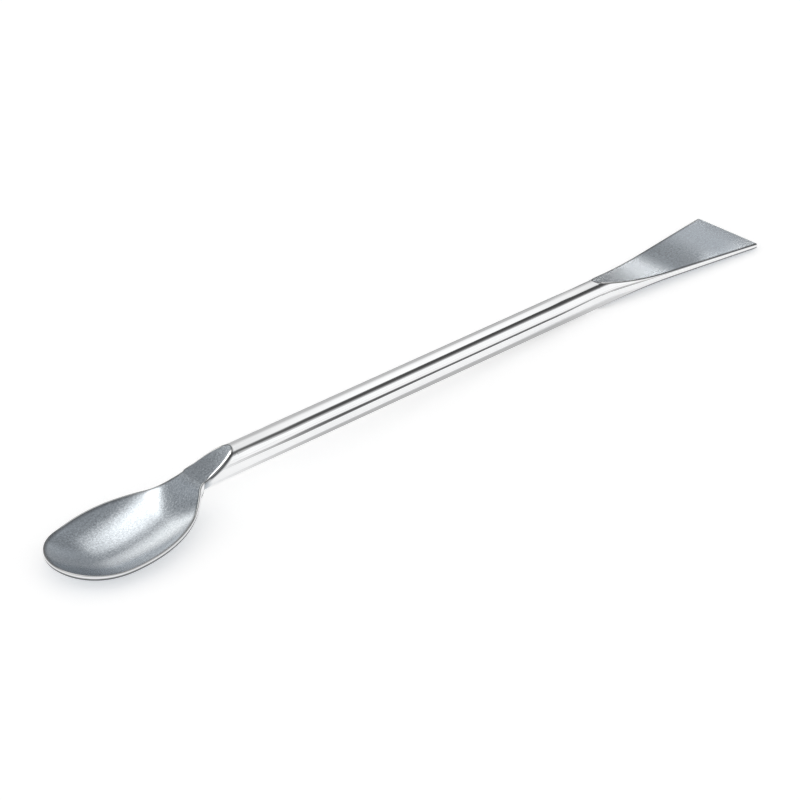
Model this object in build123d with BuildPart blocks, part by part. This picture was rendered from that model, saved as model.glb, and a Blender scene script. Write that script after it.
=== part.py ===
"""Combination laboratory spatula: a round steel rod with a forged spoon at one end and a flat blade at the other."""

from build123d import *

import os
from math import asin, atan2, degrees, hypot, sqrt

# Driving dimensions, in millimetres and degrees. The spatula is drawn with the rod's axis on X,
# the bowl towards -X and the blade towards +X, and is laid down as it rests at the end.
overall_length = 175.0
rod_diameter = 6.0

# Bowl outline, seen from above: a round tip, two long sides, and a shoulder into each side of the rod
bowl_width = 20.3
bowl_tip_to_widest = 13.6
neck_from_tip = 31.35
shoulder_radius = 2.1

# Bowl hollow: one radius across, and two along it that meet at the deepest point
bowl_wall = 0.8
bowl_drop = 8.0
bowl_tip_to_deepest = 10.0
bowl_radius_across = 18.5
bowl_radius_front = 18.0
bowl_radius_back = 41.0
hollow_arc = 60.0

# Neck: a slope pressed into the rod's upper half, which then dives into the bowl
ramp_length = 8.4
dive_angle = 44.0
dive_bend_radius = 4.5
dive_foot_radius = 4.0
neck_spread = 1.4
neck_settle = 4.0

# Blade: flattened from above and below, and flared to its square end
blade_length = 41.0
blade_flat_length = 23.0
blade_root_thickness = 1.45
blade_end_thickness = 0.95
blade_end_width = 16.8
blade_flare_length = 39.0
blade_flare_ease = 3.0
blade_corner_radius = 0.6
blade_edge_radius = 0.25

# How many sections shape the bowl's back and the blade's flare
bowl_sections = 12
flare_sections = 6

# Places along the rod that follow from the lengths
rod_radius = rod_diameter / 2
bowl_half_width = bowl_width / 2
tip_x = -overall_length / 2
end_x = overall_length / 2
neck_x = tip_x + neck_from_tip
widest_x = tip_x + bowl_tip_to_widest
deepest_x = tip_x + bowl_tip_to_deepest
blade_x = end_x - blade_length
flat_x = end_x - blade_flat_length
flare_x = end_x - blade_flare_length
reach = overall_length


def cross_plane(x):
    """The plane across the rod at x, with its own x along the part's Y and its own y up."""
    return Plane(origin=(x, 0, 0), x_dir=(0, 1, 0), z_dir=(1, 0, 0))


def ease(share):
    """Runs smoothly from 0 to 1 while share does, and stays at 1 from there on."""
    share = min(share, 1.0)
    return share * share * (3 - 2 * share)


def hanging_segment(x, radius, depth, top=0.0):
    """A circular segment across the rod, level on top, whose arc reaches down to depth below the rod's axis."""
    half_chord = sqrt(radius**2 - (radius - depth - top) ** 2)
    with BuildSketch(cross_plane(x)) as sketch:
        with BuildLine():
            ThreePointArc((-half_chord, top), (0, -depth), (half_chord, top))
            Line((half_chord, top), (-half_chord, top))
        make_face()
    return sketch.sketch


def back_depth(x):
    """How far the middle of the bowl's back lies below the rod's axis: the hollow's floor and one wall."""
    radius = (bowl_radius_front if x < deepest_x else bowl_radius_back) + bowl_wall
    return bowl_drop + bowl_wall - radius + sqrt(radius**2 - (x - deepest_x) ** 2)


def flare_half_width(distance):
    """Half the blade's width this far into its flare: a hyperbola that leaves the rod's side smoothly."""
    widening = blade_end_width / 2 - rod_radius
    full = hypot(blade_flare_length, blade_flare_ease) - blade_flare_ease
    return rod_radius + widening * (hypot(distance, blade_flare_ease) - blade_flare_ease) / full


# The upper face of the neck, as the block above it: down the slope, round a bend, and on into the bowl
ramp_angle = degrees(atan2(rod_radius, ramp_length))
with BuildPart() as above_neck:
    with BuildSketch(Plane.XZ):
        with BuildLine():
            slope = Line((neck_x + 2 * ramp_length, 2 * rod_radius), (neck_x, 0))
            bend = JernArc(slope @ 1, slope % 1, dive_bend_radius, dive_angle - ramp_angle)
            dive = PolarLine(bend @ 1, reach, direction=bend % 1)
            Polyline(dive @ 1, ((dive @ 1).X, reach), ((slope @ 0).X, reach), slope @ 0)
        make_face()
    extrude(amount=reach, both=True)

# The hollow of the bowl, turned about two axes that lie across the spatula
with BuildPart() as hollow:
    section = hanging_segment(deepest_x, bowl_radius_across, bowl_drop, top=rod_radius)
    for radius, arc in ((bowl_radius_front, hollow_arc), (bowl_radius_back, -hollow_arc)):
        centre_line = Axis((deepest_x, 0, radius - bowl_drop), (0, 1, 0))
        revolve(section, axis=centre_line, revolution_arc=arc)

# The die that presses the spoon: the hollow, ended by the dive, with a rounded foot between the two
with BuildPart() as die:
    add(above_neck.part)
    add(hollow.part, mode=Mode.INTERSECT)
    foot = die.edges().filter_by(GeomType.BSPLINE).sort_by(Axis.Z)[0]
    fillet(foot, radius=dive_foot_radius)

# Spoon outline: each side is the one arc that is level at the widest place and meets the shoulder
# without a corner, and the tip is the arc that meets both sides the same way
shoulder_y = rod_radius + shoulder_radius
shoulder_rise = shoulder_y - bowl_half_width
neck_run = neck_x - widest_x
side_radius = (neck_run**2 + shoulder_rise**2 - shoulder_radius**2) / (2 * (shoulder_radius - shoulder_rise))
side_y = side_radius - bowl_half_width
tip_radius = (side_radius**2 - bowl_tip_to_widest**2 - side_y**2) / (2 * (side_radius - bowl_tip_to_widest))
tip_lean = degrees(atan2(bowl_tip_to_widest - tip_radius, side_y))
shoulder_lean = degrees(atan2(neck_run, shoulder_y + side_y))

# Spoon: the back grows out of the rod's lower half, is trimmed to the outline and pressed by the die
with BuildPart() as spoon:
    run = neck_x - tip_x + bowl_wall
    for index in range(bowl_sections + 1):
        distance = run * (index / bowl_sections) ** 2
        x = neck_x - distance
        spread = ease(distance / neck_spread)
        settle = ease(distance / neck_settle)
        across = rod_radius + (bowl_radius_across + bowl_wall - rod_radius) * spread
        depth = rod_radius + (back_depth(x) - rod_radius) * settle
        add(hanging_segment(x, across, depth))
    loft()
    with BuildSketch(Plane.XY):
        with BuildLine():
            CenterArc((tip_x + tip_radius, 0), tip_radius, 90 + tip_lean, 90 - tip_lean)
            CenterArc((widest_x, -side_y), side_radius, 90 - shoulder_lean, shoulder_lean + tip_lean)
            CenterArc((neck_x, shoulder_y), shoulder_radius, 270 - shoulder_lean, shoulder_lean)
            Line((neck_x, rod_radius), (neck_x, 0))
            mirror(about=Plane.XZ)
        make_face()
    extrude(amount=reach, both=True, mode=Mode.INTERSECT)
    add(die.part, mode=Mode.SUBTRACT)

# Rod, with the slope of the neck pressed into its upper half
with BuildPart() as rod:
    with BuildSketch(cross_plane(neck_x)):
        Circle(rod_radius)
    extrude(amount=flare_x - neck_x)
    add(above_neck.part, mode=Mode.SUBTRACT)

# Blade: the rod's section, widened to the end
with BuildPart() as blade:
    for index in range(flare_sections + 1):
        distance = blade_flare_length * (index / flare_sections) ** 1.5
        with BuildSketch(cross_plane(flare_x + distance)):
            with BuildLine():
                EllipticalCenterArc((0, 0), flare_half_width(distance), rod_radius, start_angle=-90, arc_size=180)
                mirror(about=Plane.YZ)
            make_face()
    loft()

# Flats: one profile cuts the rod's end from above and from below, in a curve and then a slight taper
with BuildPart() as spatula:
    add(rod.part)
    add(blade.part)
    with BuildSketch(Plane.XZ):
        with BuildLine():
            flat = Line((end_x, blade_end_thickness / 2), (flat_x, blade_root_thickness / 2))
            root = TangentArc(flat @ 1, (blade_x, rod_radius), tangent=flat % 1)
            Polyline(root @ 1, (blade_x, reach), (end_x, reach), flat @ 0)
        make_face()
        mirror(about=Plane.XZ)
    extrude(amount=reach, both=True, mode=Mode.SUBTRACT)

    # The two corners of the blade's end
    with BuildSketch(Plane.XY):
        with BuildLine():
            corner_x = end_x - blade_corner_radius
            flank = Vector(corner_x, flare_half_width(blade_flare_length - blade_corner_radius))
            corner = TangentArc((end_x, blade_end_width / 2 - blade_corner_radius), flank, tangent=(0, 1))
            Polyline(flank, (corner_x, blade_end_width), (end_x, blade_end_width), corner @ 0)
        make_face()
        mirror(about=Plane.XZ)
    extrude(amount=rod_radius, both=True, mode=Mode.SUBTRACT)

    # Its long edges, from the flats up along the curve to the rod
    flats = [face for face in spatula.faces().filter_by(GeomType.PLANE) if flat_x < face.center().X < end_x]
    fillet([edge for face in flats for edge in face.edges() if edge.center().X > flat_x], radius=blade_edge_radius)
    add(spoon.part)

# Rest: the spatula lies on the bowl's back and on what comes down first at the other end,
# the rod where the blade starts or the blade's end
lie_x, lie_z = deepest_x, bowl_radius_back - bowl_drop
lie_radius = bowl_radius_back + bowl_wall


def lie_angle(x, z):
    """The slope, in the drawn spatula, of a floor that touches the bowl's back and the point x, z."""
    return degrees(atan2(z - lie_z, x - lie_x) + asin(lie_radius / hypot(x - lie_x, z - lie_z)))


lie = min(lie_angle(blade_x, -rod_radius), lie_angle(end_x, -blade_end_thickness / 2))
spatula.part = Rot(0, lie, 0) * spatula.part
bounds = spatula.part.bounding_box()
spatula.part = Pos(-bounds.center().X, -bounds.center().Y, -bounds.min.Z) * spatula.part
spatula.part.label = "spatula"

os.makedirs("parts", exist_ok=True)
export_step(spatula.part, "parts/spatula.step")
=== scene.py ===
# %% [markdown]
# # A laboratory spatula
#
# The real tool is one piece of stainless steel. Round rod is hammered out in dies: one end
# becomes a small oval spoon, the other a flat blade that flares to a square end. The rod is
# then polished until it mirrors the room, and the pressed faces are left as a fine satin.
#
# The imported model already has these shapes, but the rim of the bowl and the edges of the
# neck are sharp in it. Softening them in its own mesh would be the quick way, but its
# triangles are long and uneven, and they would show in a mirror finish. So the tool is
# forged once more as one even mesh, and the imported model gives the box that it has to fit.
# It is loaded first, and its box is kept.

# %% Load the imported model
import bpy
import bmesh
import math
from mathutils import Matrix, Vector


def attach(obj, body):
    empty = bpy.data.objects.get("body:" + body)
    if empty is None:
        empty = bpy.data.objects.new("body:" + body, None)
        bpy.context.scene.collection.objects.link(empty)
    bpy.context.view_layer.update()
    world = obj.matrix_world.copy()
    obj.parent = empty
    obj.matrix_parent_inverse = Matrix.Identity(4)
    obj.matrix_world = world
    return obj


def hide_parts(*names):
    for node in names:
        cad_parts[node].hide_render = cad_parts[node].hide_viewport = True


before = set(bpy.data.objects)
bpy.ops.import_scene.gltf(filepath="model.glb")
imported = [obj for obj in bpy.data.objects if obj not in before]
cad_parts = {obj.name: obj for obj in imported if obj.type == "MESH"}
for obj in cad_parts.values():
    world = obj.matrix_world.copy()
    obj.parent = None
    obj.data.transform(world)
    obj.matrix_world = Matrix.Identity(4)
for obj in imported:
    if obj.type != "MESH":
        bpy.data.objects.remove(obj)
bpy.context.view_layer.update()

# %% [markdown]
# ## Camera
#
# A small bright object is usually taken with a long lens, from about three times its own
# length, so that its two ends keep their proportions. The camera's place could be typed in
# as a point, but a photographer thinks of a direction and a distance, so these are the named
# values. The camera aims near the middle of the rod, stands a little over thirty degrees above
# the table, and is rolled by two degrees. Its lengths are in metres.

# %% Camera
azimuth, elevation, roll = math.radians(-41.587), math.radians(31.713), math.radians(-2.329)
aim = Vector((-0.01005, -0.00434, 0.0052))
distance, focal_length = 0.50408, 121.1
nearest, farthest = 0.01, 20

camera = bpy.data.objects.new("camera", bpy.data.cameras.new("camera"))
bpy.context.collection.objects.link(camera)
sideways = math.cos(elevation)
back = Vector((math.sin(azimuth) * sideways, -math.cos(azimuth) * sideways, math.sin(elevation)))
rolled = Matrix.Rotation(roll, 3, "Z").to_quaternion()
camera.location = aim + back * distance
camera.rotation_mode = "QUATERNION"
camera.rotation_quaternion = (-back).to_track_quat("-Z", "Y") @ rolled
camera.data.lens = focal_length
camera.data.clip_start, camera.data.clip_end = nearest, farthest
bpy.context.scene.camera = camera
print("camera at", [round(v, 3) for v in camera.location])

# %% [markdown]
# ## The sizes of the forging
#
# A tool like this is measured with a caliper, so all its lengths are in millimetres, with
# the rod's axis along X and its middle at zero. It could be built lying as it rests, but
# made straight it has shorter formulas, and it is laid down once it is whole.
#
# The places along the rod follow from the lengths. From the spoon's tip, first come its
# deepest and its widest place, then the neck, where the bowl ends, and the apex, where the
# pressed slope comes out on top of the rod. On the other side are the places where the
# blade's flats start, where it starts to flare, where it is flat, and where it ends. The
# bowl's floor has a radius across, one towards the tip and one towards the neck.

# %% Sizes
overall_length, rod_radius = 175.0, 3.0
tip_to_deepest, tip_to_widest, tip_to_neck, slope_length = 10.0, 13.6, 31.35, 8.4
blade_length, flare_length, flat_length = 41.0, 39.0, 23.0
bowl_half_width, shoulder_radius = 10.15, 2.1
bowl_drop, bowl_wall = 8.0, 0.8
bowl_across, bowl_front, bowl_back = 18.5, 18.0, 41.0
blade_half_width, blade_root_half, blade_end_half = 8.4, 0.725, 0.475
soft_edge, neck_edge = 0.2, 0.35

tip_x, end_x = -overall_length / 2, overall_length / 2
deepest_x, widest_x, neck_x = tip_x + tip_to_deepest, tip_x + tip_to_widest, tip_x + tip_to_neck
apex_x = neck_x + slope_length
blade_x, flare_x, flat_x = end_x - blade_length, end_x - flare_length, end_x - flat_length


def ease(share):
    """Runs smoothly from 0 to 1 while share does, and stays at 1 from there on."""
    share = min(max(share, 0.0), 1.0)
    return share * share * (3 - 2 * share)


print("the bowl is", 2 * bowl_half_width, "mm wide and the blade", 2 * blade_half_width)

# %% [markdown]
# ## The outline of the spoon
#
# Seen from above, the spoon is cut along three arcs a side: one round the tip, a long one
# down the side, and a small one that turns into the rod. It could be traced as a curve with
# handles, but each new width would mean drawing it again. Arcs that meet without a corner
# follow from the length and the width by themselves.

# %% Outline
shoulder_y = rod_radius + shoulder_radius
run, rise = neck_x - widest_x, shoulder_y - bowl_half_width
side_radius = (run**2 + rise**2 - shoulder_radius**2) / (2 * (shoulder_radius - rise))
side_y = side_radius - bowl_half_width
tip_radius = (side_radius**2 - tip_to_widest**2 - side_y**2) / (2 * (side_radius - tip_to_widest))
tip_turn = math.atan2(tip_to_widest - tip_radius, side_y)
shoulder_turn = math.atan2(run, shoulder_y + side_y)
print("the spoon's arcs have radii", [round(r, 2) for r in (tip_radius, side_radius, shoulder_radius)])

# %% [markdown]
# ## The dies of the spoon
#
# The upper die presses the hollow: two turned surfaces that meet at the deepest place. It
# ends at the neck in a slope that goes round a bend and dives into the bowl. The lower die
# gives the back, which grows out of the round rod.
#
# Such a shape could be sculpted, but its wall would come out uneven. A formula for the
# height of every place keeps the hollow and the back one wall apart.

# %% Dies of the spoon
slope, dive = math.atan2(rod_radius, apex_x - neck_x), math.radians(44)
bend_radius, foot = 4.5, 1.6
bend_x, bend_z = neck_x + bend_radius * math.sin(slope), -bend_radius * math.cos(slope)
dive_x, dive_z = bend_x - bend_radius * math.sin(dive), bend_z + bend_radius * math.cos(dive)
back_widens, back_sinks = 1.4, 4.0


def neck_height(x):
    """The height of the neck's upper face: the dive, then the bend, then the slope up to the rod's top."""
    if x < dive_x:
        return dive_z + (x - dive_x) * math.tan(dive)
    if x < neck_x:
        return bend_z + math.sqrt(bend_radius**2 - (x - bend_x) ** 2)
    return (x - neck_x) * math.tan(slope)


def top_height(x, y):
    """The height of the hollow's floor, with a soft foot where the dive comes down to it."""
    along = bowl_front if x < deepest_x else bowl_back
    turned = along - bowl_across + math.sqrt(bowl_across**2 - y**2)
    floor_z = along - bowl_drop - math.sqrt(turned**2 - (x - deepest_x) ** 2)
    neck_z = neck_height(x)
    return max(floor_z, neck_z) + max(foot - abs(floor_z - neck_z), 0.0) ** 2 / (4 * foot)


def back_height(x, y):
    """The height of the spoon's back, one wall below the hollow, growing out of the rod's lower half."""
    along = (bowl_front if x < deepest_x else bowl_back) + bowl_wall
    depth = bowl_drop + bowl_wall - along + math.sqrt(along**2 - (x - deepest_x) ** 2)
    across = rod_radius + (bowl_across + bowl_wall - rod_radius) * ease((neck_x - x) / back_widens)
    depth = rod_radius + (depth - rod_radius) * ease((neck_x - x) / back_sinks)
    return across - depth - math.sqrt(across**2 - y**2)


print("the bowl is", round(-top_height(deepest_x, 0), 2), "mm below the rod's axis")

# %% [markdown]
# ## The dies of the blade
#
# The blade is pressed from above and below alike, so one formula serves for both flats. They
# leave the rod in a hollow curve and go on in a slight taper. The steel that is pressed out
# goes sideways, and the width grows round a soft bend and then in a straight line. A plain
# wedge would be simpler, but it would meet the rod in a corner, and this die leaves none.

# %% Dies of the blade
taper = (blade_root_half - blade_end_half) / (end_x - flat_x)
root_rise, root_run, root_tilt = rod_radius - blade_root_half, flat_x - blade_x, math.atan(taper)
root_chord = math.hypot(root_rise, root_run)
root_radius = root_chord / (2 * math.sin(math.atan2(root_rise, root_run) - root_tilt))
root_x = flat_x + root_radius * math.sin(root_tilt)
root_z = blade_root_half + root_radius * math.cos(root_tilt)
flare_bend = 3.0


def blade_half_thickness(x):
    """Half the thickness between the blade's flats: a slight taper, and a curve up to the rod."""
    if x > flat_x:
        return blade_end_half + (end_x - x) * taper
    return min(rod_radius, root_z - math.sqrt(root_radius**2 - (x - root_x) ** 2))


def flared(length):
    """How far the blade's side has moved out at this length from the start of the flare."""
    return math.hypot(max(length, 0.0), flare_bend) - flare_bend


def blade_half_span(x):
    """Half the width of the blade, which leaves the rod's side smoothly and flares to the end."""
    return rod_radius + (blade_half_width - rod_radius) * flared(x - flare_x) / flared(end_x - flare_x)


print("the blade's root is hollowed with a radius of", round(root_radius, 1), "mm")

# %% [markdown]
# ## Rings
#
# A forging keeps its fibres: each ring round the rod becomes a ring round the finished tool.
# Booleans or a remesh could join a spoon, a rod and a blade as well, but their points would
# wander across the edges and dent the mirror finish. So the mesh is made as the smith makes
# the tool. Every ring has the same number of points: over the top, round a soft edge, down
# the side, round the second edge and along the bottom.

# %% Half a ring
top_steps, edge_steps, side_steps, bottom_steps = 19, 4, 12, 18
margin_width, margin_limit, edge_limit = 0.15, 0.3, 0.45
tiny = 1e-9


def rounded(start, corner, stop):
    """Points on the soft edge that cuts a corner, without its start."""
    shares = [step / edge_steps for step in range(1, edge_steps + 1)]
    return [start * (1 - t) ** 2 + corner * 2 * t * (1 - t) + stop * t**2 for t in shares]


def half_ring(top, side, bottom, upper_edge, lower_edge):
    """One half of a ring, from the middle of the top to the middle of the bottom.
    top, side and bottom each turn a share from 0 to 1 into a point, and follow on from one another."""
    lengths = [(chain(1.0) - chain(0.0)).length for chain in (top, side, bottom)]
    upper = min(upper_edge, edge_limit * lengths[0], edge_limit * lengths[1])
    lower = min(lower_edge, edge_limit * lengths[1], edge_limit * lengths[2])
    before = [upper / max(lengths[0], tiny), lower / max(lengths[1], tiny)]
    after = [upper / max(lengths[1], tiny), lower / max(lengths[2], tiny)]
    margin = min(margin_width / max(lengths[0], tiny), margin_limit)
    points = [top((1 - before[0] - margin) * step / (top_steps - 1)) for step in range(top_steps)]
    points.append(top(1 - before[0]))
    points += rounded(top(1 - before[0]), top(1.0), side(after[0]))
    points += [
        side(after[0] + (1 - before[1] - after[0]) * step / side_steps)
        for step in range(1, side_steps + 1)
    ]
    points += rounded(side(1 - before[1]), side(1.0), bottom(after[1]))
    points += [
        bottom(after[1] + (1 - after[1]) * step / bottom_steps)
        for step in range(1, bottom_steps + 1)
    ]
    return points


print("points in half a ring:", top_steps + 1 + edge_steps + side_steps + edge_steps + bottom_steps)

# %% [markdown]
# In the bowl the rings stand square to the outline. Upright rings all along would be
# simpler, but at the tip they would graze the rim and leave it ragged. A ring runs from the
# middle line over the hollow to the rim, down the wall, and back along the underside.

# %% A ring of the spoon
def spoon_ring(spine_x, rim_x, rim_y):
    """A ring of the spoon, from the middle line out to the rim and back below."""

    def top(share):
        x, y = spine_x + (rim_x - spine_x) * share, rim_y * share
        return Vector((x, y, top_height(x, y)))

    def bottom(share):
        x, y = rim_x + (spine_x - rim_x) * share, rim_y * (1 - share)
        return Vector((x, y, back_height(x, y)))

    upper, lower = top(1.0), bottom(0.0)
    return half_ring(top, lambda share: upper.lerp(lower, share), bottom, soft_edge, soft_edge)


print("height of the rim at its widest place, mm:", round(top_height(widest_x, bowl_half_width), 2))

# %% [markdown]
# On the rod and the blade a ring stands upright. It is an ellipse, as wide as the blade is
# there and as high as the rod, and what the dies press is cut flat at the top or the bottom.
# On the blade only its narrow sides are left of the ellipse, which gives them their round.

# %% A ring of the rod or the blade
def round_ring(x, half_span, upper_turn, lower_turn, upper_edge, lower_edge):
    """A ring of the rod or the blade: an ellipse, cut flat above one turn and below another."""

    def on_ellipse(turn):
        return Vector((x, half_span * math.cos(turn), rod_radius * math.sin(turn)))

    def arc(first, last):
        return lambda share: on_ellipse(first + (last - first) * share)

    def flat(turn, outwards):
        edge = on_ellipse(turn)
        return lambda share: Vector((x, edge.y * (share if outwards else 1 - share), edge.z))

    pressed_below = x >= blade_x
    pressed_above = pressed_below or x <= apex_x
    top = flat(upper_turn, True) if pressed_above else arc(math.pi / 2, upper_turn)
    bottom = flat(lower_turn, False) if pressed_below else arc(lower_turn, -math.pi / 2)
    return half_ring(top, arc(upper_turn, lower_turn), bottom, upper_edge, lower_edge)


# %% [markdown]
# The rings lie close together where the shape changes fast, at the tip, at the two places
# where the flats run out on the rod, and at the blade's corners. An even spacing would spend
# most of them on the plain rod.
#
# Each ring also notes its finish: how satin its upper and its lower face is, and how far the
# painted dark line along the edge, which is painted shade and painted reflection, has moved
# from the face's side of the soft edge to the other.

# %% Rings of the spoon
satin_ring, polished_ring = (1.0, 1.0, 0.0), (0.0, 0.0, 0.0)
tip_rings, side_rings, shoulder_rings = 26, 44, 15
rings = []

for step in range(tip_rings + 1):
    turn = (math.pi / 2 - tip_turn) * step / tip_rings
    centre = tip_x + tip_radius
    rings.append(spoon_ring(centre, centre - tip_radius * math.cos(turn), tip_radius * math.sin(turn)))
for step in range(1, side_rings + 1):
    turn = -tip_turn + (tip_turn + shoulder_turn) * step / side_rings
    rim = (widest_x + side_radius * math.sin(turn), side_radius * math.cos(turn) - side_y)
    rings.append(spoon_ring(widest_x + side_y * math.tan(turn), *rim))
for step in range(1, shoulder_rings):
    turn = shoulder_turn * (1 - step / shoulder_rings)
    rim = (neck_x - shoulder_radius * math.sin(turn), shoulder_y - shoulder_radius * math.cos(turn))
    rings.append(spoon_ring(neck_x - shoulder_y * math.tan(turn), *rim))
finish = [satin_ring] * len(rings)
print("rings of the spoon:", len(rings))

# %% [markdown]
# At the neck the satin of the spoon's back ends within a few rings, and the soft edge of the
# slope fades out at the apex. On the plain rod the points of a ring may slide round it. So
# they are led slowly from where the neck leaves them to where the blade takes them up.

# %% Rings of the neck, the rod and the root of the blade
neck_rings, rod_rings, root_rings = 30, 40, 30
back_fade_rings, line_shift_rings = 4, 3
edge_run_out, spread_length, spread_turn = 1.5, 14.0, 30

for step in range(neck_rings + 1):
    x = apex_x - (apex_x - neck_x) * (1 - step / neck_rings) ** 2
    turn = math.asin(min(neck_height(x) / rod_radius, 1.0))
    edge = neck_edge * ease((apex_x - x) / edge_run_out)
    rings.append(round_ring(x, rod_radius, turn, 0.0, edge, 0.0))
    finish.append((1.0, 1.0 - ease(step / back_fade_rings), ease(step / line_shift_rings)))
for step in range(1, rod_rings):
    share = step / rod_rings
    x = apex_x + (blade_x - apex_x) * (1 - math.cos(math.pi * share)) / 2
    spread = ease((x - apex_x) / spread_length) - ease((x - blade_x) / spread_length + 1)
    upper_turn, lower_turn = math.radians(90 - spread_turn * spread), math.radians(-90 * share)
    rings.append(round_ring(x, rod_radius, upper_turn, lower_turn, 0.0, 0.0))
    finish.append(polished_ring)
for step in range(root_rings + 1):
    x = blade_x + (flat_x - blade_x) * (step / root_rings) ** 2
    turn = math.asin(min(blade_half_thickness(x) / rod_radius, 1.0))
    edge = soft_edge * ease((x - blade_x) / edge_run_out)
    rings.append(round_ring(x, blade_half_span(x), turn, -turn, edge, edge))
    finish.append(satin_ring)
print("rings up to the flat blade:", len(rings))

# %% [markdown]
# The blade ends square, with small round corners, and its end face has soft edges too. A fan
# of triangles could close it, but it would show as a star in the polish. So the last ring
# lies flat on the end face's middle line, where its upper and lower points share their
# places, and the faces run straight across.

# %% Rings of the flat blade and its end
flat_rings, corner_rings, end_rings = 18, 6, 5
corner, end_edge = 0.6, 0.15
corner_x, corner_y = end_x - corner, 5.0
corner_inset = 0.3 * (corner - end_edge)
end_ring = (0.4, 0.4, 0.0)

stops = [flat_x + (corner_x - flat_x) * step / flat_rings for step in range(1, flat_rings + 1)]
stops += [
    corner_x + (corner - end_edge) * math.sin(math.pi / 2 * step / corner_rings)
    for step in range(1, corner_rings + 1)
]
for x in stops:
    turn = math.asin(blade_half_thickness(x) / rod_radius)
    cut = corner - math.sqrt(corner**2 - max(x - corner_x, 0.0) ** 2)
    rings.append(round_ring(x, blade_half_span(x) - cut, turn, -turn, soft_edge, soft_edge))
    finish.append(satin_ring)
last = rings[-1]
for step in range(1, end_rings + 1):
    turn = math.pi / 2 * step / end_rings
    x, sunk = end_x - end_edge * (1 - math.sin(turn)), end_edge * (1 - math.cos(turn))
    inset = sunk + corner_inset * (step / end_rings) ** 2
    thin = 1 - sunk / blade_end_half
    rings.append([Vector((x, p.y - inset * (p.y > corner_y), p.z * thin)) for p in last])
    finish.append(end_ring)
face = rings[-1]
rings.append([Vector((end_x, face[min(k, len(face) - 1 - k)].y, 0.0)) for k in range(len(face))])
finish.append(end_ring)
print("all rings:", len(rings), "points in half a ring:", len(rings[0]))

# %% [markdown]
# ## From rod to forging
#
# The smith starts from a length of round rod, the blank. Here it is a circle drawn out into
# a tube by the spin tool, which without an angle makes a straight run of copies. The faces
# could be written down one by one instead, but the spin tool makes them all at once, and
# each point's place on the tube still tells to which ring it belongs.

# %% Blank
half_points = len(rings[0])
around = 2 * (half_points - 1)
advance = (end_x - tip_x) / (len(rings) - 1)

bm = bmesh.new()
bmesh.ops.create_circle(bm, segments=around, radius=rod_radius)
bmesh.ops.rotate(bm, verts=bm.verts, cent=(0, 0, 0), matrix=Matrix.Rotation(math.pi / 2, 3, "Y"))
bmesh.ops.translate(bm, verts=bm.verts, vec=(tip_x, 0, 0))
bmesh.ops.spin(
    bm, geom=list(bm.verts) + list(bm.edges), cent=(0, 0, 0), axis=(1, 0, 0),
    dvec=(advance, 0, 0), angle=0, steps=len(rings) - 1,
)
print("blank:", len(bm.verts), "points, wanted", around * len(rings))

# %% [markdown]
# Now each ring of the tube is pushed to its place. On the way every point learns how satin
# it is, and how near it lies to the edge of a satin face, where a dark line of painted
# shade and painted reflection runs. These shares could be painted by hand, but as values on
# the points they follow the edges when a size is changed, and they hold from all sides.

# %% Forge
edge_start, edge_stop = top_steps, top_steps + edge_steps
lower_start = edge_stop + side_steps
line_width, line_spread = 0.4, 0.5

satin = bm.verts.layers.float.new("satin")
line = bm.verts.layers.float.new("painted_edge_shade")
for vert in bm.verts:
    ring = round((vert.co.x - tip_x) / advance)
    place = round(math.atan2(vert.co.y, vert.co.z) / (2 * math.pi) * around) % around
    half = place if place < half_points else around - place
    point = rings[ring][half].copy()
    if place >= half_points:
        point.y = -point.y
    vert.co = point
    upper_finish, lower_finish, line_shift = finish[ring]
    if half <= edge_stop:
        vert[satin] = upper_finish * (1 - ease((half - edge_start + 1) / (edge_steps - 1)))
    elif half >= lower_start:
        vert[satin] = lower_finish * ease((half - lower_start) / edge_steps)
    # The share below places the painted dark line: painted shade and painted reflection along the edges of
    # the satin faces.
    reach = line_width * (1 + line_spread * line_shift)
    inner, outer, lower = (
        1 - ease((rings[ring][half] - rings[ring][border]).length / reach)
        for border in (edge_start, edge_stop, lower_start)
    )
    vert[line] = max(upper_finish * (inner + (outer - inner) * line_shift), lower_finish * lower)
print("points with some satin:", sum(vert[satin] > 0 for vert in bm.verts))

# %% [markdown]
# Where a flat runs out or a face ends in a line, points share their places, and they are
# merged. The crease round the two run-outs is marked as sharp, because the die leaves it
# crisp. More rings could do that too, but a marked edge costs none. Then the tool is laid
# down as it rests. Polishing takes a few hundredths of a millimetre off its length, so it
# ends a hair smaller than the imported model.

# %% Weld and lay down
merge_distance, sliver = 0.001, 0.0005
run_out_length, crease_angle, line_limit = 1.6, math.radians(9), 0.3
rest_turn, rest_place = math.radians(2.69942), (0.1218, 0, 5.1855)

bmesh.ops.remove_doubles(bm, verts=bm.verts, dist=merge_distance)
bmesh.ops.dissolve_degenerate(bm, edges=bm.edges, dist=sliver)
bmesh.ops.recalc_face_normals(bm, faces=bm.faces)
for edge in bm.edges:
    run_out = all(
        min(abs(v.co.x - apex_x), abs(v.co.x - blade_x)) < run_out_length and v[line] > line_limit
        for v in edge.verts
    )
    if run_out and edge.calc_face_angle(0.0) > crease_angle:
        edge.smooth = False
lie = Matrix.Translation(rest_place) @ Matrix.Rotation(rest_turn, 4, "Y")
to_metres, polished_off = Matrix.Scale(0.001, 4), Matrix.Scale(0.9996, 4)
bmesh.ops.transform(bm, matrix=to_metres @ lie @ polished_off, verts=bm.verts)
open_edges = sum(not edge.is_manifold for edge in bm.edges)
volume = round(bm.calc_volume() * 1e9)
print("forged:", len(bm.faces), "faces, open edges:", open_edges, "volume mm3:", volume)
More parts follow.
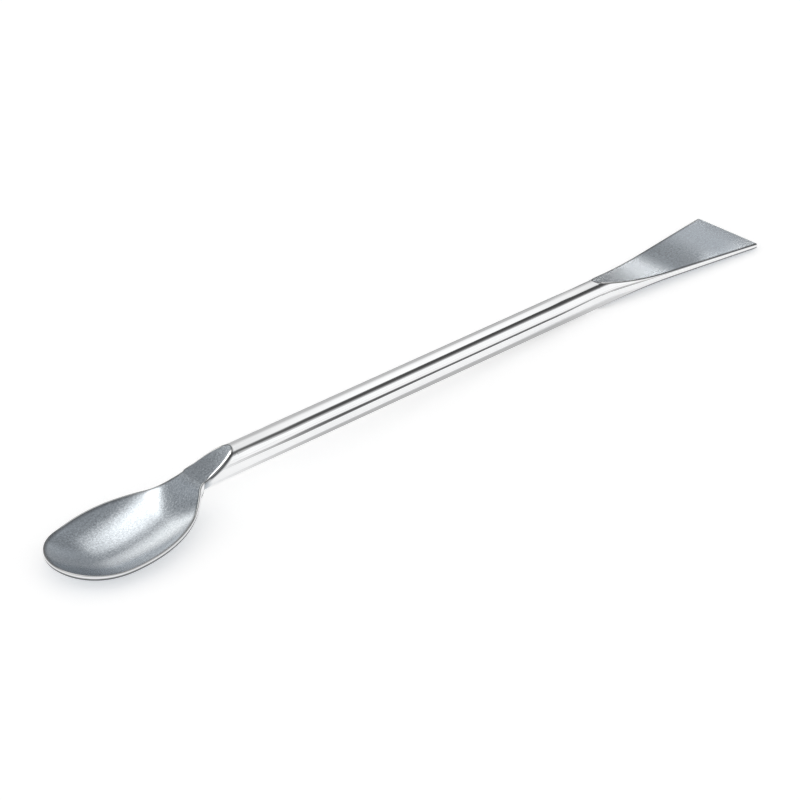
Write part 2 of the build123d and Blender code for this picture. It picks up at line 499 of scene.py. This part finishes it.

# %% [markdown]
# The finished mesh takes the place of the imported model's piece, which is hidden. It rides
# on the root body, so the part behaves as before and only looks different.

# %% The visual piece
forged = bpy.data.meshes.new("forged_spatula")
bm.to_mesh(forged)
bm.free()
forged.shade_smooth()
tool = bpy.data.objects.new("forged_spatula", forged)
bpy.context.collection.objects.link(tool)
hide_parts("spatula")
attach(tool, "root")
print("the visual piece has", len(forged.vertices), "points")

# %% [markdown]
# ## Steel
#
# There is one metal with two finishes. The rod, the rims and the edges are polished: they
# mirror the room, with a trace of fine marks along the tool. The pressed faces come out of
# the dies as a fine satin, which is darker and a little bluer and blurs what it mirrors.
#
# Two materials could share out the faces, but the border between them would go in steps. So
# one material mixes both finishes by the values that the forging left at each point. Its
# grain is counted in grains to a metre and lies in the tool's own coordinates, so it keeps
# its size all over.

# %% Node helpers
steel = bpy.data.materials.new("polished_and_satin_steel")
steel.use_nodes = True
nodes, links = steel.node_tree.nodes, steel.node_tree.links
shader = nodes["Principled BSDF"]
shader.inputs["Metallic"].default_value = 1.0
where = nodes.new("ShaderNodeTexCoord").outputs["Object"]


def attribute(name):
    """The value that the forging left at each point under this name."""
    node = nodes.new("ShaderNodeAttribute")
    node.attribute_name = name
    return node.outputs["Fac"]


def noise(scale, detail, stretch=(1, 1, 1)):
    """Noise with this many grains to a metre, drawn out where stretch is small."""
    mapping = nodes.new("ShaderNodeMapping")
    mapping.inputs["Scale"].default_value = stretch
    node = nodes.new("ShaderNodeTexNoise")
    node.inputs["Scale"].default_value = scale
    node.inputs["Detail"].default_value = detail
    links.new(where, mapping.inputs["Vector"])
    links.new(mapping.outputs["Vector"], node.inputs["Vector"])
    return node.outputs["Fac"]


def between(value, low, high, from_low=0.0, from_high=1.0):
    """A value moved from one range to another."""
    node = nodes.new("ShaderNodeMapRange")
    ends = {"From Min": from_low, "From Max": from_high, "To Min": low, "To Max": high}
    for name, number in ends.items():
        node.inputs[name].default_value = number
    links.new(value, node.inputs["Value"])
    return node.outputs["Result"]


def mixed(share, first, second, kind="RGBA"):
    """Two colours or values mixed by a share. Each is an output or plain."""
    node = nodes.new("ShaderNodeMix")
    node.data_type = kind
    links.new(share, node.inputs["Factor"])
    for name, thing in (("A", first), ("B", second)):
        if isinstance(thing, bpy.types.NodeSocket):
            links.new(thing, node.inputs[name])
        else:
            node.inputs[name].default_value = thing
    return node.outputs["Result"]


# %% [markdown]
# Three patterns are needed: the grain of the satin, wide patches that keep the polish from
# looking like chrome, and fine marks that a polishing belt draws out along the tool. They
# could be photographs wrapped round the tool, but noise has no seams and no end.

# %% Patterns
grains_per_metre, patches_per_metre, marks_per_metre = 3200, 160, 2600
along_the_tool = (0.06, 1, 1)
# The second share marks where the painted dark edge line lies, which is painted shade and painted
# reflection.
satin_share, painted_edge_shade_share = attribute("satin"), attribute("painted_edge_shade")
grain = noise(grains_per_metre, 2.0)
patches = noise(patches_per_metre, 3.0)
marks = noise(marks_per_metre, 3.0, stretch=along_the_tool)
print("grains of the satin are about", round(1000 / grains_per_metre, 2), "mm wide")

# %% [markdown]
# The colours are what the steel throws back when it faces the camera. Polished stainless
# steel gives back about two thirds. Here it is nearly nine tenths, because pictures of such
# tools are exposed until the steel is almost white. The satin is darker, because its pits
# swallow some of the light. Along the edges of the satin faces a dark line is painted into
# the colour. It is painted shade and painted reflection: it stands in for the dark bands that
# the soft edges and the rims mirror.

# %% Colour
pit_colour, satin_colour = (0.3, 0.334, 0.37, 1), (0.425, 0.468, 0.514, 1)
dull_colour, bright_colour = (0.865, 0.872, 0.88, 1), (0.895, 0.9, 0.905, 1)
# The near-black colour here is painted shade and painted reflection along the edges of the satin faces.
painted_edge_shade_colour = (0.05, 0.055, 0.06, 1)
satin_grey = mixed(between(grain, 0, 1, 0.3, 0.7), pit_colour, satin_colour)
polished_grey = mixed(between(patches, 0, 1, 0.35, 0.65), dull_colour, bright_colour)
plain_grey = mixed(satin_share, polished_grey, satin_grey)
links.new(mixed(painted_edge_shade_share, plain_grey, painted_edge_shade_colour), shader.inputs["Base Color"])
print("the satin is at most", round(satin_colour[1] / bright_colour[1], 2), "times as bright as the polish")

# %% [markdown]
# The grain is also a relief of a fiftieth of a millimetre. On the satin it makes the fine
# sparkle at the borders of the highlights, and on the polished rod it is almost nothing.
# Real pits in the mesh would take millions of faces, and a bump looks the same from here.

# %% Roughness and relief
relief_depth = 0.00002
satin_rough = between(grain, 0.15, 0.24, 0.3, 0.7)
polished_rough = between(marks, 0.045, 0.085, 0.3, 0.7)
links.new(mixed(satin_share, polished_rough, satin_rough, "FLOAT"), shader.inputs["Roughness"])

bump = nodes.new("ShaderNodeBump")
bump.inputs["Distance"].default_value = relief_depth
links.new(mixed(satin_share, marks, grain, "FLOAT"), bump.inputs["Height"])
links.new(between(satin_share, 0.02, 0.38), bump.inputs["Strength"])
links.new(bump.outputs["Normal"], shader.inputs["Normal"])
forged.materials.append(steel)
print("steel is made of", len(nodes), "nodes")

# %% [markdown]
# ## Cards
#
# Polished steel shows little but what stands round it, so a tool like this is lit with
# things to mirror: soft boxes, white boards and dark strips, moved until every face has its
# band of light. Lamps could light it too, but in a mirror they are only small bright spots.
# So glowing cards are used, and each fades out towards its edges as a soft box does.

# %% Card helpers
def combined(tree, operation, first, second=0.0):
    """Two values joined by one operation. Each is an output or a plain number."""
    node = tree.nodes.new("ShaderNodeMath")
    node.operation = operation
    for socket, value in zip(node.inputs, (first, second)):
        if isinstance(value, bpy.types.NodeSocket):
            tree.links.new(value, socket)
        else:
            socket.default_value = value
    return node.outputs[0]


def fading(tree, along, half, soft):
    """1 in the middle of a card and 0 at its edge, falling over this share of its half size."""
    fade = tree.nodes.new("ShaderNodeMapRange")
    fade.interpolation_type = "SMOOTHSTEP"
    fade.inputs["From Min"].default_value = half * (1 - soft)
    fade.inputs["From Max"].default_value = half
    fade.inputs["To Min"].default_value = 1.0
    fade.inputs["To Max"].default_value = 0.0
    tree.links.new(combined(tree, "ABSOLUTE", along), fade.inputs["Value"])
    return fade.outputs["Result"]


def glow(name, half_width, half_height, level, soft, colour):
    """A material that shines at this level and turns clear towards the edges."""
    material = bpy.data.materials.new(name)
    material.use_nodes = True
    tree = material.node_tree
    tree.nodes.clear()
    coordinates = tree.nodes.new("ShaderNodeTexCoord")
    split = tree.nodes.new("ShaderNodeSeparateXYZ")
    tree.links.new(coordinates.outputs["Object"], split.inputs[0])
    across = fading(tree, split.outputs["X"], half_width, soft)
    upwards = fading(tree, split.outputs["Y"], half_height, soft)
    light = tree.nodes.new("ShaderNodeEmission")
    light.inputs["Color"].default_value = (*colour, 1)
    light.inputs["Strength"].default_value = level
    clear = tree.nodes.new("ShaderNodeBsdfTransparent")
    mix = tree.nodes.new("ShaderNodeMixShader")
    tree.links.new(combined(tree, "MULTIPLY", across, upwards), mix.inputs["Fac"])
    tree.links.new(clear.outputs[0], mix.inputs[1])
    tree.links.new(light.outputs[0], mix.inputs[2])
    out = tree.nodes.new("ShaderNodeOutputMaterial")
    tree.links.new(mix.outputs[0], out.inputs["Surface"])
    return material


# %% [markdown]
# A card is one square, scaled to its size and turned to face a place on the tool. A real
# board would throw its own light and shadow on the paper. This one is hidden from all but
# the mirrored rays, so the floor keeps its even light, and a card may even stand between the
# camera and the tool.

# %% A card
cards = []


def card(name, centre, facing, width, height, level, soft, along=(1, 0, 0), colour=(1, 1, 1)):
    """A flat card in millimetres that faces a place. Its width runs along one direction."""
    bm = bmesh.new()
    bmesh.ops.create_grid(bm, x_segments=1, y_segments=1, size=0.5)
    bmesh.ops.scale(bm, vec=(width / 1000, height / 1000, 1), verts=bm.verts)
    mesh = bpy.data.meshes.new(name)
    bm.to_mesh(mesh)
    bm.free()
    mesh.materials.append(glow(name, width / 2000, height / 2000, level, soft, colour))
    normal = (Vector(facing) - Vector(centre)).normalized()
    side = (Vector(along) - normal * normal.dot(Vector(along))).normalized()
    turned = Matrix((side, normal.cross(side), normal)).transposed()
    thing = bpy.data.objects.new(name, mesh)
    thing.matrix_world = Matrix.Translation(Vector(centre) / 1000) @ turned.to_4x4()
    bpy.context.collection.objects.link(thing)
    thing.visible_camera = False
    thing.visible_diffuse = False
    thing.visible_shadow = False
    thing.visible_transmission = False
    cards.append(thing)


# %% [markdown]
# The rod mirrors a narrow band of everything round it. Seen from the camera it has, from
# top to bottom, a grey upper edge, a broad white band, a dark line, a white band again, a
# thin grey line and a light lower edge. One large picture of a studio could give them all,
# but with one card for each band they can be moved one by one.

# %% Cards of the rod
card("back_line", (77, 65, 10), (0, 0, 5), 200, 12, 0.25, 0.45, along=(1, 0, 0.1))
card("white_strip", (81, 24, 104), (0, 0, 5), 190, 220, 1.12, 0.85, along=(1, 0, 0.2))
card("dark_strip", (88, -29, 99), (0, 0, 5), 300, 80, 0.07, 0.8, along=(1, 0, 0.3))
card("front_white", (98, -100, 77), (0, 0, 5), 150, 86, 1.08, 0.33)
card("front_line", (22, -28, 4), (22, 0, 4), 135, 12, 0.12, 0.6, along=(1, 0, -0.047))
# The next card is a grey sheet on the paper under the rod, seen only in the mirror: painted shade that
# stands in for the rod's contact shade on the paper.
card("painted_shade_under_rod", (6, -2, 0.3), (6, -2, 50), 130, 9, 0.5, 0.6)
print("cards for the rod:", len(cards))

# %% [markdown]
# The hollow gathers the light of a large soft box high behind it into one long highlight,
# with a weaker one near the rim from a second box. A flag keeps the neck dark beside them.
# Their light is a little warm, so that the highlights come out white on the bluish satin.
# With a neutral satin plain white boxes would do, but the shaded steel would lose its blue.

# %% Cards of the spoon
warm = (1.0, 0.955, 0.9)
card("bowl_softbox", (-94, 87, 231), (-76, 0, 0), 500, 215, 5.5, 0.83, along=(1, 0, -0.8), colour=warm)
card("back_softbox", (-40, 158, 81), (-65, -7, 1), 197, 120, 2.2, 0.85, along=(1, 0, -0.65), colour=warm)
card("neck_flag", (-53, 14, 24), (-52, 0, 9), 35, 21, 0.43, 0.8, along=(1, 0, -0.3))
print("cards so far:", len(cards))

# %% [markdown]
# On the blade the curve at its root catches a bright strip, and the flat beyond it stays
# darker until it grows lighter again at the end. One long card could fade from light to
# dark, but with two lights and a flag each place is set by itself. Their edges run across
# the tool, as the highlight does. One more flag keeps the strip out of the spoon's tip.

# %% Cards of the blade
card("blade_strip", (221, 124, 66), (128, 124, 29), 78, 52, 7.6, 0.25, along=(0, 1, 0), colour=warm)
card("blade_flag", (102, 30, 20), (9, 30, -17), 36, 8, 0.4, 0.42, along=(0, 1, 0))
card("blade_end_light", (103, 23, 14), (10, 23, -23), 40, 9, 1.0, 0.55, along=(0, 1, 0))
card("tip_flag", (68, 62, 35), (-85, 0, 4), 50, 34, 0.54, 0.3)
print("cards in all:", len(cards))

# %% [markdown]
# ## Floor
#
# The tool lies on plain white paper. Left to the light alone, the paper would come out a
# pale grey. A brighter room would lift it, but the tool with it. So only what the camera and
# the mirrored rays see of the paper is lifted to white. The light that it throws back on the
# tool stays as it is, and so does the soft shadow.

# %% Floor
half_floor, paper_white, paper_lift = 3, 0.9, 0.38
bm = bmesh.new()
bmesh.ops.create_grid(bm, x_segments=1, y_segments=1, size=half_floor)
floor_mesh = bpy.data.meshes.new("floor")
bm.to_mesh(floor_mesh)
bm.free()
floor = bpy.data.objects.new("floor", floor_mesh)
bpy.context.collection.objects.link(floor)

paper = bpy.data.materials.new("floor")
paper.use_nodes = True
paper_tree = paper.node_tree
paper_shader = paper_tree.nodes["Principled BSDF"]
paper_shader.inputs["Base Color"].default_value = (paper_white, paper_white, paper_white, 1)
paper_shader.inputs["Specular IOR Level"].default_value = 0.0
paper_shader.inputs["Roughness"].default_value = 1.0
paper_shader.inputs["Emission Color"].default_value = (1, 1, 1, 1)
path = paper_tree.nodes.new("ShaderNodeLightPath").outputs
seen = combined(paper_tree, "MAXIMUM", path["Is Camera Ray"], path["Is Glossy Ray"])
seen = combined(paper_tree, "MAXIMUM", seen, path["Is Transmission Ray"])
lift = combined(paper_tree, "MULTIPLY", seen, paper_lift)
paper_tree.links.new(lift, paper_shader.inputs["Emission Strength"])
floor_mesh.materials.append(paper)
print("the floor is", [round(size, 1) for size in floor.dimensions[:2]], "m wide")

# %% [markdown]
# ## Room
#
# The room is an even white, except for the side behind and above the tool, which is dimmed
# to about half. The satin faces mirror that side, and would be as pale as the paper without
# it. A dark board could stand there instead, but its edges would show in the rod.

# %% Room
dim_azimuth, dim_elevation = math.radians(40), math.radians(42)
dim_from, dim_whole, dim_level = math.radians(76), math.radians(58), 0.54
dim_side = (
    math.cos(dim_azimuth) * math.cos(dim_elevation),
    math.sin(dim_azimuth) * math.cos(dim_elevation),
    math.sin(dim_elevation),
)

world = bpy.data.worlds.new("studio")
bpy.context.scene.world = world
world.use_nodes = True
sky = world.node_tree
room_light = sky.nodes["Background"]
room_light.inputs["Color"].default_value = (1, 1, 1, 1)
towards = sky.nodes.new("ShaderNodeVectorMath")
towards.operation = "DOT_PRODUCT"
towards.inputs[1].default_value = dim_side
sky.links.new(sky.nodes.new("ShaderNodeTexCoord").outputs["Generated"], towards.inputs[0])
dim = sky.nodes.new("ShaderNodeMapRange")
dim.interpolation_type = "SMOOTHSTEP"
dim.inputs["From Min"].default_value = math.cos(dim_from)
dim.inputs["From Max"].default_value = math.cos(dim_whole)
dim.inputs["To Min"].default_value = 1.0
dim.inputs["To Max"].default_value = dim_level
sky.links.new(towards.outputs["Value"], dim.inputs["Value"])
sky.links.new(dim.outputs["Result"], room_light.inputs["Strength"])
bpy.context.scene.view_settings.view_transform = "Standard"
print("the dim side of the room lies towards", [round(v, 2) for v in dim_side])
